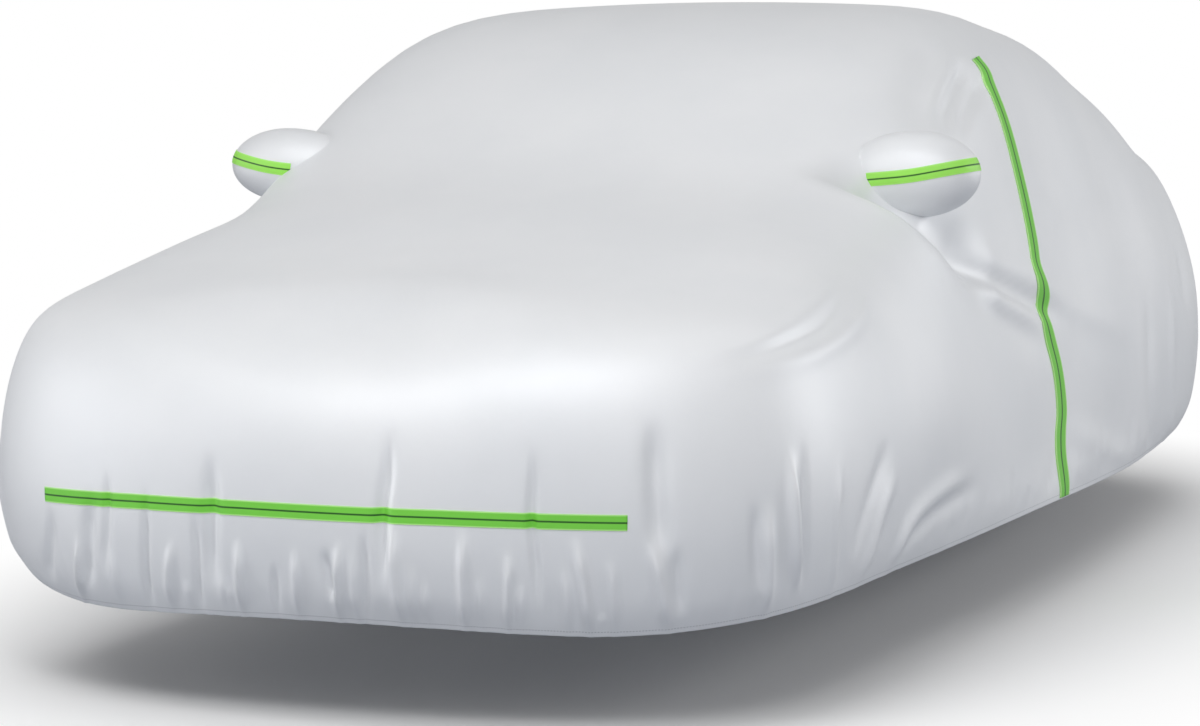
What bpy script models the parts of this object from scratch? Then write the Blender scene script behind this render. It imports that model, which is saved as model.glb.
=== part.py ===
"""A fitted cover for a saloon car: one draped cloth, two mirror pockets, green tapes.

Metres, +Z up, the car's nose towards -Y and its left side at +X.  The tables below
measure lengths along the car from its front axle and heights from the ground.  The
finished pieces are shifted so that the origin is the seat under the roof cloth.
"""
from collections import namedtuple
import math

import bmesh
import bpy
from mathutils import Matrix, Vector
import numpy as np

# ---------------------------------------------------------------- driving sizes
CLOTH_THICK = 0.002
TAPE_THICK = 0.001
TAPE_WIDTH = 0.030          # across the nose and round the mirror pockets
SIDE_TAPE_WIDTH = 0.095     # the tape down the side is the wide one
SEAM_GAP = 0.0003           # air between pieces that touch
ROOF_SEAT_Y = 1.49          # the origin lies under the roof cloth, this far behind the axle

FRONT_TAPE_X = (-0.640, 0.595)
FRONT_TAPE_Z = 0.427

POCKET_X = 0.765            # centre of each mirror pocket, out from the middle
POCKET_Y = 0.60             # behind the front axle
POCKET_REACH = 0.140        # half of its length, sideways
POCKET_DEPTH = 0.090        # half of its size, front to back
POCKET_ROOT = 0.100         # its cloth starts this far inside its centre
POCKET_HEM = 0.010          # the cut in the cover is this much smaller all round
POCKET_TAPE_TILT = math.radians(8.0)

Pocket = namedtuple("Pocket", "name side centre_z half_height tape_z")
POCKETS = (
    Pocket("left", 1, 1.028, 0.095, 1.032),
    Pocket("right", -1, 1.034, 0.086, 1.036),
)

# ---------------------------------------------------------------- body shape
# One row for each upright section of the left half, from nose to tail.  A section
# starts on the spine over the car's middle and runs straight out to the side line,
# the widest line round the car.  rail is the roof or bonnet edge, belt the shoulder
# under the windows; both are given by how far they lie inside the side line.
Section = namedtuple(
    "Section",
    "name spine_y spine_z side_x side_y rail_in rail_z belt_in belt_z side_z hem_in hem_z",
)
SECTIONS = (
    Section("nose", -0.40, 0.860, 0.000, -0.920, 0.200, 0.760, 0.030, 0.655, 0.480, 0.055, 0.210),
    Section("nose_inner", -0.39, 0.860, 0.335, -0.890, 0.190, 0.765, 0.035, 0.675, 0.480, 0.055, 0.205),
    Section("nose_outer", -0.34, 0.860, 0.640, -0.810, 0.180, 0.780, 0.045, 0.715, 0.480, 0.065, 0.190),
    Section("corner", -0.24, 0.880, 0.865, -0.640, 0.180, 0.795, 0.060, 0.760, 0.500, 0.055, 0.220),
    Section("corner_side", -0.10, 0.905, 0.915, -0.415, 0.175, 0.820, 0.055, 0.755, 0.520, 0.035, 0.235),
    Section("front_wheel", 0.10, 0.960, 0.930, -0.035, 0.180, 0.930, 0.060, 0.755, 0.550, 0.030, 0.240),
    Section("cowl", 0.40, 1.030, 0.930, 0.355, 0.145, 0.930, 0.065, 0.755, 0.560, 0.025, 0.230),
    Section("screen", 0.78, 1.275, 0.930, 0.740, 0.135, 1.195, 0.070, 0.835, 0.550, -0.005, 0.240),
    Section("screen_top", 1.18, 1.425, 0.920, 1.150, 0.180, 1.405, 0.080, 0.905, 0.535, -0.028, 0.240),
    Section("roof", 1.70, 1.435, 0.920, 1.690, 0.225, 1.400, 0.095, 0.945, 0.570, -0.020, 0.225),
    Section("roof_rear", 2.25, 1.425, 0.930, 2.250, 0.265, 1.360, 0.105, 0.960, 0.630, 0.005, 0.210),
    Section("rear_screen", 2.80, 1.275, 0.935, 2.805, 0.255, 1.235, 0.110, 0.950, 0.660, 0.030, 0.220),
    Section("deck", 3.15, 1.120, 0.915, 3.260, 0.230, 1.065, 0.125, 0.920, 0.650, 0.050, 0.225),
    Section("rear_corner", 3.30, 1.100, 0.835, 3.605, 0.200, 1.030, 0.090, 0.920, 0.620, 0.040, 0.215),
    Section("tail_outer", 3.36, 1.090, 0.605, 3.820, 0.150, 1.030, 0.050, 0.905, 0.600, 0.040, 0.205),
    Section("tail_inner", 3.39, 1.090, 0.300, 3.880, 0.150, 1.030, 0.040, 0.905, 0.600, 0.040, 0.200),
    Section("tail", 3.40, 1.090, 0.000, 3.890, 0.150, 1.030, 0.035, 0.900, 0.600, 0.040, 0.200),
)
CROWN_AT = 0.55             # the crown ring, as a share of the way to the rail
CROWN_DROP = 0.25           # and the share of the fall to the rail that it has made
SKIRT_SHARE = 0.22          # how much of the hem's tuck the skirt ring has made
SKIRT_RISE = 0.120          # the skirt ring lies this far above the hem

# ---------------------------------------------------------------- folds
# Where a fold lies: girth is the distance round the car from the middle of the nose,
# measured along the side line, positive on the left, and z is the height.  A depth
# above zero is a ridge and below zero a trough; width is the reach of its slope.
# A fold whose path ends at the hem runs out over it at full depth.
Fold = namedtuple("Fold", "name depth width ends path")
HEM = "hem"
BOTH = "both"
FOLDS = (
    Fold("nose_far", 0.006, 0.024, HEM, ((-0.62, 0.38), (-0.62, 0.20))),
    Fold("nose_far_hollow", -0.005, 0.030, HEM, ((-0.53, 0.46), (-0.55, 0.20))),
    Fold("nose_right", -0.007, 0.026, HEM, ((-0.25, 0.62), (-0.24, 0.44), (-0.28, 0.20))),
    Fold("nose_right_ridge", 0.005, 0.024, HEM, ((-0.36, 0.40), (-0.365, 0.20))),
    Fold("nose_middle", -0.008, 0.028, HEM, ((0.155, 0.60), (0.145, 0.49), (0.095, 0.21))),
    Fold("nose_middle_ridge", 0.006, 0.026, HEM, ((0.20, 0.55), (0.20, 0.40), (0.17, 0.21))),
    Fold("nose_left", -0.007, 0.024, HEM, ((0.43, 0.60), (0.43, 0.43), (0.44, 0.21))),
    Fold("nose_left_ridge", 0.005, 0.024, HEM, ((0.50, 0.42), (0.555, 0.21))),
    Fold("corner_hollow", -0.008, 0.028, HEM, ((0.66, 0.58), (0.65, 0.43), (0.71, 0.21))),
    Fold("corner_ridge", 0.008, 0.026, HEM, ((0.865, 0.47), (0.875, 0.34), (0.91, 0.21))),
    Fold("corner_ridge_tall", 0.008, 0.028, HEM, ((0.945, 0.56), (0.935, 0.41), (0.975, 0.21))),
    Fold("wheel_hollow", -0.007, 0.030, HEM, ((1.11, 0.52), (1.09, 0.40), (1.15, 0.22))),
    Fold("arch_ridge", 0.008, 0.036, HEM, ((1.41, 0.44), (1.32, 0.37), (1.25, 0.22))),
    Fold("arch_hollow", -0.007, 0.040, BOTH, ((1.32, 0.52), (1.19, 0.37))),
    Fold("arch_fan", 0.008, 0.040, HEM, ((2.02, 0.37), (1.78, 0.37), (1.53, 0.33), (1.43, 0.22))),
    Fold("arch_fan_low", -0.007, 0.040, HEM, ((2.08, 0.35), (1.87, 0.345), (1.60, 0.31), (1.50, 0.22))),
    Fold("wing_ridge", 0.010, 0.034, BOTH, ((0.80, 0.73), (0.92, 0.75), (1.07, 0.78), (1.29, 0.815))),
    Fold("wing_hollow", -0.010, 0.034, BOTH, ((0.82, 0.70), (0.98, 0.73), (1.16, 0.755), (1.33, 0.785))),
    Fold("pillar_front", -0.006, 0.036, BOTH, ((2.64, 1.32), (2.38, 1.21), (2.24, 1.12))),
    Fold("pillar_middle", -0.006, 0.036, BOTH, ((2.76, 1.28), (2.49, 1.19), (2.32, 1.11))),
    Fold("door_ridge", 0.011, 0.045, BOTH, ((2.00, 0.90), (2.15, 0.82), (2.63, 0.69), (3.00, 0.61))),
    Fold("door_hollow", -0.011, 0.045, BOTH, ((2.04, 0.91), (2.22, 0.83), (2.82, 0.70), (3.30, 0.62))),
    Fold("door_shoulder", 0.007, 0.050, BOTH, ((2.10, 0.94), (2.32, 0.86), (2.85, 0.75), (3.60, 0.58))),
    Fold("rear_shoulder", -0.007, 0.070, BOTH, ((3.10, 0.86), (3.67, 0.87), (4.55, 0.87))),
    Fold("rear_wheel_front", -0.007, 0.060, HEM, ((3.99, 0.66), (3.93, 0.43), (4.03, 0.20))),
    Fold("rear_wheel_back", 0.008, 0.060, HEM, ((4.30, 0.66), (4.26, 0.45), (4.36, 0.20))),
    Fold("sill_ridge", 0.007, 0.055, HEM, ((2.90, 0.39), (3.30, 0.315), (3.75, 0.21))),
    Fold("tail_corner_ridge", 0.008, 0.060, HEM, ((5.00, 0.60), (5.05, 0.21))),
    Fold("tail_hollow", -0.008, 0.060, HEM, ((5.50, 0.62), (5.45, 0.21))),
    Fold("tail_ridge", 0.008, 0.060, HEM, ((6.02, 0.50), (6.03, 0.21))),
    Fold("tail_hollow_far", -0.008, 0.060, HEM, ((-5.60, 0.62), (-5.52, 0.21))),
    Fold("tail_corner_far", 0.008, 0.060, HEM, ((-5.05, 0.58), (-5.00, 0.21))),
    Fold("far_rear_wheel", -0.008, 0.060, HEM, ((-4.10, 0.68), (-4.00, 0.20))),
    Fold("far_door_ridge", 0.012, 0.055, BOTH, ((-1.99, 0.91), (-2.35, 0.78), (-3.00, 0.60))),
    Fold("far_door_hollow", -0.011, 0.055, BOTH, ((-2.02, 0.99), (-2.45, 0.85), (-3.35, 0.63))),
    Fold("far_arch_ridge", 0.008, 0.040, HEM, ((-2.00, 0.38), (-1.72, 0.35), (-1.50, 0.22))),
    Fold("far_corner_ridge", 0.008, 0.030, HEM, ((-0.93, 0.52), (-0.96, 0.21))),
    Fold("far_wheel_hollow", -0.007, 0.032, HEM, ((-1.18, 0.50), (-1.22, 0.22))),
)
FOLD_TAPER = 0.35           # share of a fold's length in which it rises from nothing
FOLD_ROWS = (1.3, 2.0)      # folds fade out between these rows: none crosses the top

# ---------------------------------------------------------------- tapes and mesh pitch
# The middle of the side tape: distance behind the front axle and height.
SIDE_TAPE_PATH = (
    (1.292, 1.288), (1.318, 1.255), (1.320, 1.200), (1.328, 1.128), (1.331, 1.021),
    (1.332, 0.927), (1.325, 0.840), (1.324, 0.740), (1.322, 0.660), (1.328, 0.600),
    (1.340, 0.540), (1.350, 0.480), (1.347, 0.430), (1.330, 0.380), (1.322, 0.320),
    (1.320, 0.180),
)
# Distance round the car, and how far apart the mesh's columns stand there.
COLUMN_PITCH = (
    (0.0, 0.056), (1.30, 0.056), (1.60, 0.080), (2.30, 0.080), (3.00, 0.105), (3.60, 0.190),
    (6.10, 0.190),
)
# Rows from the spine (0) to the hem (6), one whole number for each ring of the cage.
ROWS = (0.0, 0.8, 1.5, 2.0, 2.4, 2.8, 3.2, 3.6, 3.95, 4.3, 4.65, 5.0, 5.35, 5.7, 6.0)
GIRTH_ROW = 4.5             # the row along which the girth is measured
SLOPE_STEP = 0.01

CLOTH_SILVER = (0.78, 0.80, 0.82, 1.0)
TAPE_GREEN = (0.22, 0.62, 0.10, 1.0)


# ---------------------------------------------------------------- the smooth skin
def control_cage():
    """Points of the control cage, sections by rings, with one more on each edge."""
    half = []
    for section in SECTIONS:
        start = np.array([0.0, section.spine_y])
        side = np.array([section.side_x, section.side_y])
        reach = float(np.linalg.norm(side - start))
        way = (side - start) / reach
        rail = reach - section.rail_in
        crown_z = section.spine_z - CROWN_DROP * (section.spine_z - section.rail_z)
        stops = (
            (0.0, section.spine_z),
            (CROWN_AT * rail, crown_z),
            (rail, section.rail_z),
            (reach - section.belt_in, section.belt_z),
            (reach, section.side_z),
            (reach - SKIRT_SHARE * section.hem_in, section.hem_z + SKIRT_RISE),
            (reach - section.hem_in, section.hem_z),
        )
        half.append([(*(start + way * out), z) for out, z in stops])
    half = np.array(half)
    flip = np.array([-1.0, 1.0, 1.0])
    around = np.concatenate([half[1:2] * flip, half, half[-2:-1] * flip])
    over_spine = around[:, 1:2] * flip
    below_hem = 2.0 * around[:, -1:] - around[:, -2:-1]
    return np.concatenate([over_spine, around, below_hem], axis=1)


CAGE = control_cage()
LAST_SECTION = len(SECTIONS) - 1
LAST_RING = CAGE.shape[1] - 3


def spline_weights(place, last):
    """First control point and the four cubic B-spline weights at each place."""
    first = np.clip(np.floor(place).astype(int), 0, last - 1)
    f = place - first
    weights = np.stack([(1 - f) ** 3, 3 * f**3 - 6 * f**2 + 4, -3 * f**3 + 3 * f**2 + 3 * f + 1, f**3])
    return first, weights / 6.0


def smooth_skin(turns, rows):
    """The unfolded cover: a turn counts sections from the nose, below zero on the right."""
    first_turn, turn_weights = spline_weights(np.abs(turns), LAST_SECTION)
    first_row, row_weights = spline_weights(rows, LAST_RING)
    points = np.zeros((len(turns), len(rows), 3))
    for i in range(4):
        for j in range(4):
            weight = turn_weights[i][:, None, None] * row_weights[j][None, :, None]
            points += weight * CAGE[first_turn + i][:, first_row + j]
    points[..., 0] *= np.where(turns < 0, -1.0, 1.0)[:, None]
    return points


def girth_table():
    """Turns round the left half, and the distance from the nose at each."""
    turns = np.linspace(0.0, LAST_SECTION, 2001)
    line = smooth_skin(turns, np.array([GIRTH_ROW]))[:, 0, :2]
    steps = np.linalg.norm(np.diff(line, axis=0), axis=1)
    return turns, np.concatenate([[0.0], np.cumsum(steps)])


TABLE_TURNS, TABLE_GIRTH = girth_table()


def girth_of(turns):
    """Distance round the car from the middle of the nose, below zero on the right."""
    return np.sign(turns) * np.interp(np.abs(turns), TABLE_TURNS, TABLE_GIRTH)


def smoothstep(x):
    x = np.clip(x, 0.0, 1.0)
    return x * x * (3.0 - 2.0 * x)


def fold_relief(girth, height):
    """How far the folds push the cloth out at each place round and up the car."""
    relief = np.zeros(girth.shape)
    for fold in FOLDS:
        path = np.array(fold.path)
        lengths = np.linalg.norm(np.diff(path, axis=0), axis=1)
        nearest = np.full(girth.shape, np.inf)
        along = np.zeros(girth.shape)
        done = 0.0
        for (s0, z0), (s1, z1), length in zip(path[:-1], path[1:], lengths):
            ds, dz = (s1 - s0) / length, (z1 - z0) / length
            run = np.clip((girth - s0) * ds + (height - z0) * dz, 0.0, length)
            gap = np.hypot(girth - s0 - run * ds, height - z0 - run * dz)
            closer = gap < nearest
            nearest = np.where(closer, gap, nearest)
            along = np.where(closer, (done + run) / lengths.sum(), along)
            done += length
        strength = smoothstep(along / FOLD_TAPER)
        if fold.ends == BOTH:
            strength = strength * smoothstep((1.0 - along) / FOLD_TAPER)
        relief += fold.depth * strength * np.exp(-((nearest / fold.width) ** 2))
    return relief


def folded_skin(turns, rows):
    """The cover with its folds pushed out along the smooth skin's normals."""
    points = smooth_skin(turns, rows)
    rows_next = np.clip(rows + SLOPE_STEP, 0.0, LAST_RING)
    rows_back = np.clip(rows - SLOPE_STEP, 0.0, LAST_RING)
    down = smooth_skin(turns, rows_next) - smooth_skin(turns, rows_back)
    around = smooth_skin(turns + SLOPE_STEP, rows) - smooth_skin(turns - SLOPE_STEP, rows)
    normals = np.cross(down, around)
    sizes = np.linalg.norm(normals, axis=2, keepdims=True)
    normals = np.where(sizes > 1e-12, normals / np.maximum(sizes, 1e-12), (0.0, 0.0, 1.0))
    girth = np.repeat(girth_of(turns)[:, None], len(rows), axis=1)
    on_side = smoothstep((rows - FOLD_ROWS[0]) / (FOLD_ROWS[1] - FOLD_ROWS[0]))
    relief = fold_relief(girth, points[..., 2]) * on_side[None, :]
    return points + normals * relief[..., None]


# ---------------------------------------------------------------- meshes
def column_turns():
    """Turns of the mesh's columns, once round the car from the nose by the left."""
    places, pitches = zip(*COLUMN_PITCH)
    stops = [0.0]
    while stops[-1] < TABLE_GIRTH[-1]:
        stops.append(stops[-1] + float(np.interp(stops[-1], places, pitches)))
    left = np.interp(np.array(stops) * TABLE_GIRTH[-1] / stops[-1], TABLE_GIRTH, TABLE_TURNS)
    return np.concatenate([left, -left[-2:0:-1]])


def skin_bmesh():
    """The outer face of the cover as an open surface, its two halves joined on the spine."""
    turns = column_turns()
    count = len(turns)
    points = folded_skin(turns, np.array(ROWS)) - np.array(ORIGIN)
    bm = bmesh.new()
    spine = [bm.verts.new(points[i, 0]) for i in range(count // 2 + 1)]
    columns = []
    for i in range(count):
        top = spine[min(i, count - i)]
        columns.append([top] + [bm.verts.new(point) for point in points[i, 1:]])
    for i in range(count):
        here, there = columns[i], columns[(i + 1) % count]
        for j in range(len(ROWS) - 1):
            bm.faces.new((here[j], here[j + 1], there[j + 1], there[j]))
    # one choice of diagonals for every copy, so that tapes and cloth stay parallel
    bmesh.ops.triangulate(bm, faces=bm.faces)
    return bm


def seat_under_roof():
    """The middle of the roof cloth's inner face, in the tables' own frame."""
    turns = np.linspace(0.0, LAST_SECTION, 2001)
    spine = smooth_skin(turns, np.array([0.0]))[:, 0]
    roof_z = float(np.interp(ROOF_SEAT_Y, spine[:, 1], spine[:, 2]))
    return (0.0, ROOF_SEAT_Y, roof_z - CLOTH_THICK)


ORIGIN = seat_under_roof()


def from_tables(x, y, z):
    """A point of the tables' frame in the part's own frame."""
    return Vector((x, y, z)) - Vector(ORIGIN)


def egg_bmesh(pocket, grow):
    """A mirror pocket's rounded form, its poles sideways, grown by grow all round."""
    bm = bmesh.new()
    bmesh.ops.create_uvsphere(bm, u_segments=20, v_segments=12, radius=1.0)
    size = (POCKET_REACH + grow, POCKET_DEPTH + grow, pocket.half_height + grow)
    centre = from_tables(pocket.side * POCKET_X, POCKET_Y, pocket.centre_z)
    lie_down = Matrix.Rotation(math.radians(90.0), 4, "Y")
    shape = Matrix.Translation(centre) @ Matrix.Diagonal((*size, 1.0)) @ lie_down
    bmesh.ops.transform(bm, matrix=shape, verts=bm.verts)
    return bm


def open_egg_bmesh(pocket):
    """The same form, cut open on the side towards the car."""
    bm = egg_bmesh(pocket, 0.0)
    cut = from_tables(pocket.side * (POCKET_X - POCKET_ROOT), POCKET_Y, pocket.centre_z)
    everything = bm.verts[:] + bm.edges[:] + bm.faces[:]
    outward = (float(pocket.side), 0.0, 0.0)
    bmesh.ops.bisect_plane(bm, geom=everything, plane_co=cut, plane_no=outward, clear_inner=True)
    bmesh.ops.triangulate(bm, faces=bm.faces)
    return bm


def core_bmesh():
    """All the space under the cover, closed at the hem: what trims pocket and tape ends."""
    bm = skin_bmesh()
    rim = [edge for edge in bm.edges if edge.is_boundary]
    bmesh.ops.edgeloop_fill(bm, edges=rim)
    return bm


def keep_faces(bm, low, high):
    """Drop the faces whose middle lies outside a box."""
    outside = []
    for face in bm.faces:
        middle = face.calc_center_median()
        if any(not low[k] < middle[k] < high[k] for k in range(3)):
            outside.append(face)
    bmesh.ops.delete(bm, geom=outside, context="FACES")
    return bm


def box_bmesh(low, high):
    bm = bmesh.new()
    bmesh.ops.create_cube(bm, size=1.0)
    size = Vector(high) - Vector(low)
    middle = (Vector(high) + Vector(low)) / 2.0
    place = Matrix.Translation(middle) @ Matrix.Diagonal((*size, 1.0))
    bmesh.ops.transform(bm, matrix=place, verts=bm.verts)
    return bm


def side_band_bmesh():
    """A prism through the left side, as wide as the side tape, along its path."""
    half = SIDE_TAPE_WIDTH / 2.0
    front = [from_tables(0.45, y - half, z) for y, z in SIDE_TAPE_PATH]
    back = [from_tables(0.45, y + half, z) for y, z in SIDE_TAPE_PATH]
    bm = bmesh.new()
    outline = [bm.verts.new(point) for point in front + back[::-1]]
    face = bm.faces.new(outline)
    through = bmesh.ops.extrude_face_region(bm, geom=[face])
    moved = [item for item in through["geom"] if isinstance(item, bmesh.types.BMVert)]
    bmesh.ops.translate(bm, vec=(0.75, 0.0, 0.0), verts=moved)
    bmesh.ops.recalc_face_normals(bm, faces=bm.faces)
    return bm


def pocket_band_bmesh(pocket):
    """A tilted slab through a mirror pocket, as thick as its tape is wide."""
    half = TAPE_WIDTH / 2.0
    bm = box_bmesh((-0.3, -0.3, -half), (0.3, 0.3, half))
    centre = from_tables(pocket.side * POCKET_X, POCKET_Y, pocket.tape_z)
    tilt = Matrix.Rotation(-pocket.side * POCKET_TAPE_TILT, 4, "Y")
    bmesh.ops.transform(bm, matrix=Matrix.Translation(centre) @ tilt, verts=bm.verts)
    return bm


# ---------------------------------------------------------------- objects
def clear_scene():
    for old in list(bpy.data.objects):
        bpy.data.objects.remove(old, do_unlink=True)


def new_collection(name):
    collection = bpy.data.collections.new(name)
    bpy.context.scene.collection.children.link(collection)
    return collection


def new_material(name, colour, roughness, metallic):
    material = bpy.data.materials.new(name)
    material.use_nodes = True
    shader = material.node_tree.nodes["Principled BSDF"]
    shader.inputs["Base Color"].default_value = colour
    shader.inputs["Roughness"].default_value = roughness
    shader.inputs["Metallic"].default_value = metallic
    material.diffuse_color = colour
    return material


def new_object(name, bm, collection, material=None):
    mesh = bpy.data.meshes.new(name)
    bm.to_mesh(mesh)
    bm.free()
    mesh.shade_smooth()
    thing = bpy.data.objects.new(name, mesh)
    collection.objects.link(thing)
    if material:
        mesh.materials.append(material)
    return thing


def new_cutter(name, bm, collection):
    thing = new_object(name, bm, collection)
    thing.hide_render = True
    thing.display_type = "WIRE"
    return thing


def add_solidify(thing, thickness, offset):
    solidify = thing.modifiers.new("thickness", "SOLIDIFY")
    solidify.thickness = thickness
    solidify.offset = offset


def add_gap(thing, distance):
    displace = thing.modifiers.new("gap", "DISPLACE")
    displace.strength = distance
    displace.mid_level = 0.0


def add_boolean(thing, operation, cutter):
    boolean = thing.modifiers.new(operation.lower(), "BOOLEAN")
    boolean.operation = operation
    boolean.solver = "EXACT"
    boolean.object = cutter


def make_tape(name, blank, band, parts, material):
    """A tape: a skin's patch lifted by the seam gap, thickened, and cut to its band."""
    tape = new_object(name, blank, parts, material)
    add_gap(tape, SEAM_GAP)
    add_solidify(tape, TAPE_THICK, 1.0)
    add_boolean(tape, "INTERSECT", band)
    return tape


def make_cover(parts, cutters, cloth):
    cover = new_object("cover", skin_bmesh(), parts, cloth)
    add_solidify(cover, CLOTH_THICK, -1.0)
    for pocket in POCKETS:
        hole = new_cutter(f"pocket_hole_{pocket.name}", egg_bmesh(pocket, -POCKET_HEM), cutters)
        add_boolean(cover, "DIFFERENCE", hole)


def make_pockets(parts, cutters, core, cloth, green):
    for pocket in POCKETS:
        cup = new_object(f"mirror_pocket_{pocket.name}", open_egg_bmesh(pocket), parts, cloth)
        add_solidify(cup, CLOTH_THICK, -1.0)
        add_boolean(cup, "DIFFERENCE", core)
        band = new_cutter(f"pocket_band_{pocket.name}", pocket_band_bmesh(pocket), cutters)
        tape = make_tape(f"mirror_tape_{pocket.name}", open_egg_bmesh(pocket), band, parts, green)
        add_boolean(tape, "DIFFERENCE", core)


def make_front_tape(parts, cutters, green):
    half = TAPE_WIDTH / 2.0
    low = from_tables(FRONT_TAPE_X[0], -1.2, FRONT_TAPE_Z - half)
    high = from_tables(FRONT_TAPE_X[1], -0.5, FRONT_TAPE_Z + half)
    band = new_cutter("front_band", box_bmesh(low, high), cutters)
    around = Vector((0.15, 0.0, 0.15))
    blank = keep_faces(skin_bmesh(), low - around, high + around)
    make_tape("front_tape", blank, band, parts, green)


def make_side_tape(parts, cutters, green):
    band = new_cutter("side_band", side_band_bmesh(), cutters)
    low = from_tables(0.45, 0.9, 0.0)
    high = from_tables(1.10, 1.8, 1.45)
    make_tape("side_tape", keep_faces(skin_bmesh(), low, high), band, parts, green)


def main():
    clear_scene()
    parts = new_collection("car_cover")
    cutters = new_collection("cutters")
    cloth = new_material("silver_cloth", CLOTH_SILVER, 0.55, 0.0)
    green = new_material("green_tape", TAPE_GREEN, 0.45, 0.0)
    core = new_cutter("core", core_bmesh(), cutters)
    add_gap(core, SEAM_GAP)
    make_cover(parts, cutters, cloth)
    make_pockets(parts, cutters, core, cloth, green)
    make_front_tape(parts, cutters, green)
    make_side_tape(parts, cutters, green)


main()
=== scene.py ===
"""The looks of the car cover: fine folded cloth, hem, mirror pockets and green tapes.

Metres, in the row frame.  The tables measure lengths along the car from its front axle
and heights from the ground; ORIGIN takes them to the row frame.
"""

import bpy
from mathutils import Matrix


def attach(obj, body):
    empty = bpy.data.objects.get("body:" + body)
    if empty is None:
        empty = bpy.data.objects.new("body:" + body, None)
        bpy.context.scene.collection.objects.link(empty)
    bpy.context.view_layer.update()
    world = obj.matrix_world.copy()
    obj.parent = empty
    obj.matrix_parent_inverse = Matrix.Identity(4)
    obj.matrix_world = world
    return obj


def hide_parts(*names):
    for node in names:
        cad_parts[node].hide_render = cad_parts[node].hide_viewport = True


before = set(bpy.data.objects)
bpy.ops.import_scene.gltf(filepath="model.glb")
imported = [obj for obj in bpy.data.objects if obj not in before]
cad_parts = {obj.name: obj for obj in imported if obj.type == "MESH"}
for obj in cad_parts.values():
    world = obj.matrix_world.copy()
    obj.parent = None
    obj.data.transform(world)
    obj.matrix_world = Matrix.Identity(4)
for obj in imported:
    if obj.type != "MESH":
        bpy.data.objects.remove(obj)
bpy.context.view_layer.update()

from collections import namedtuple
import math

import bpy
from mathutils import Vector
from mathutils.bvhtree import BVHTree
import numpy as np

# ---------------------------------------------------------------- sizes, most as in the solids
CLOTH_THICK = 0.002
ROOF_SEAT_Y = 1.49
TAPE_WIDTH = 0.030
SIDE_TAPE_WIDTH = 0.095
TAPE_LIFT = 0.0012          # a tape's face stands this far off the cloth
TAPE_EDGE_LIFT = 0.0002
SIDE_TAPE_LIFT = 0.003      # more at the side, where the cloth's mesh is coarser than the tape's
BAND_EDGE_LIFT = -0.0003    # the edges of the pockets' tapes sink into the cups
FRONT_TAPE_X = (-0.640, 0.595)
FRONT_TAPE_Z = ((-0.64, 0.419), (-0.40, 0.425), (-0.15, 0.427), (0.25, 0.426), (0.595, 0.421))
SIDE_TAPE_GIRTH = 2.85      # the side tape runs near this distance round the car
SIDE_TAPE_REACH = (2.4, 3.3)
SIDE_TAPE_FOOT = 5.98       # the row where it ends, at the hem

POCKET_X = 0.765
POCKET_Y = 0.60
POCKET_REACH = 0.140
POCKET_DEPTH = 0.090
POCKET_ROOT = 0.115         # 15 mm further in than the solid cups: the hollow is deeper here
POCKET_HEM = 0.010
POCKET_FULLNESS = 0.60      # below 1, the half towards the car keeps its girth for longer
POCKET_TAPE_TILT = math.radians(8.0)
POCKET_TAPE_SAG = 0.006
Pocket = namedtuple("Pocket", "name side centre_z half_height tape_z")
POCKETS = (
    Pocket("left", 1, 1.028, 0.095, 1.032),
    Pocket("right", -1, 1.034, 0.086, 1.036),
)

Section = namedtuple(
    "Section",
    "name spine_y spine_z side_x side_y rail_in rail_z belt_in belt_z side_z hem_in hem_z",
)
SECTIONS = (
    Section("nose", -0.40, 0.860, 0.000, -0.920, 0.200, 0.760, 0.030, 0.655, 0.480, 0.055, 0.210),
    Section("nose_inner", -0.39, 0.860, 0.335, -0.890, 0.190, 0.765, 0.035, 0.675, 0.480, 0.055, 0.205),
    Section("nose_outer", -0.34, 0.860, 0.640, -0.810, 0.180, 0.780, 0.045, 0.715, 0.480, 0.065, 0.190),
    Section("corner", -0.24, 0.880, 0.865, -0.640, 0.180, 0.795, 0.060, 0.760, 0.500, 0.055, 0.220),
    Section("corner_side", -0.10, 0.905, 0.915, -0.415, 0.175, 0.820, 0.055, 0.755, 0.520, 0.035, 0.235),
    Section("front_wheel", 0.10, 0.960, 0.930, -0.035, 0.180, 0.930, 0.060, 0.755, 0.550, 0.030, 0.240),
    Section("cowl", 0.40, 1.030, 0.930, 0.355, 0.145, 0.930, 0.065, 0.755, 0.560, 0.025, 0.230),
    Section("screen", 0.78, 1.275, 0.930, 0.740, 0.135, 1.195, 0.070, 0.835, 0.550, -0.005, 0.240),
    Section("screen_top", 1.18, 1.425, 0.920, 1.150, 0.180, 1.405, 0.080, 0.905, 0.535, -0.028, 0.240),
    Section("roof", 1.70, 1.435, 0.920, 1.690, 0.225, 1.400, 0.095, 0.945, 0.570, -0.020, 0.225),
    Section("roof_rear", 2.25, 1.425, 0.930, 2.250, 0.265, 1.360, 0.105, 0.960, 0.630, 0.005, 0.210),
    Section("rear_screen", 2.80, 1.275, 0.935, 2.805, 0.255, 1.235, 0.110, 0.950, 0.660, 0.030, 0.220),
    Section("deck", 3.15, 1.120, 0.915, 3.260, 0.230, 1.065, 0.125, 0.920, 0.650, 0.050, 0.225),
    Section("rear_corner", 3.30, 1.100, 0.835, 3.605, 0.200, 1.030, 0.090, 0.920, 0.620, 0.040, 0.215),
    Section("tail_outer", 3.36, 1.090, 0.605, 3.820, 0.150, 1.030, 0.050, 0.905, 0.600, 0.040, 0.205),
    Section("tail_inner", 3.39, 1.090, 0.300, 3.880, 0.150, 1.030, 0.040, 0.905, 0.600, 0.040, 0.200),
    Section("tail", 3.40, 1.090, 0.000, 3.890, 0.150, 1.030, 0.035, 0.900, 0.600, 0.040, 0.200),
)
CROWN_AT = 0.55             # of the way from the spine to the rail, and this share of its drop
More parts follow.
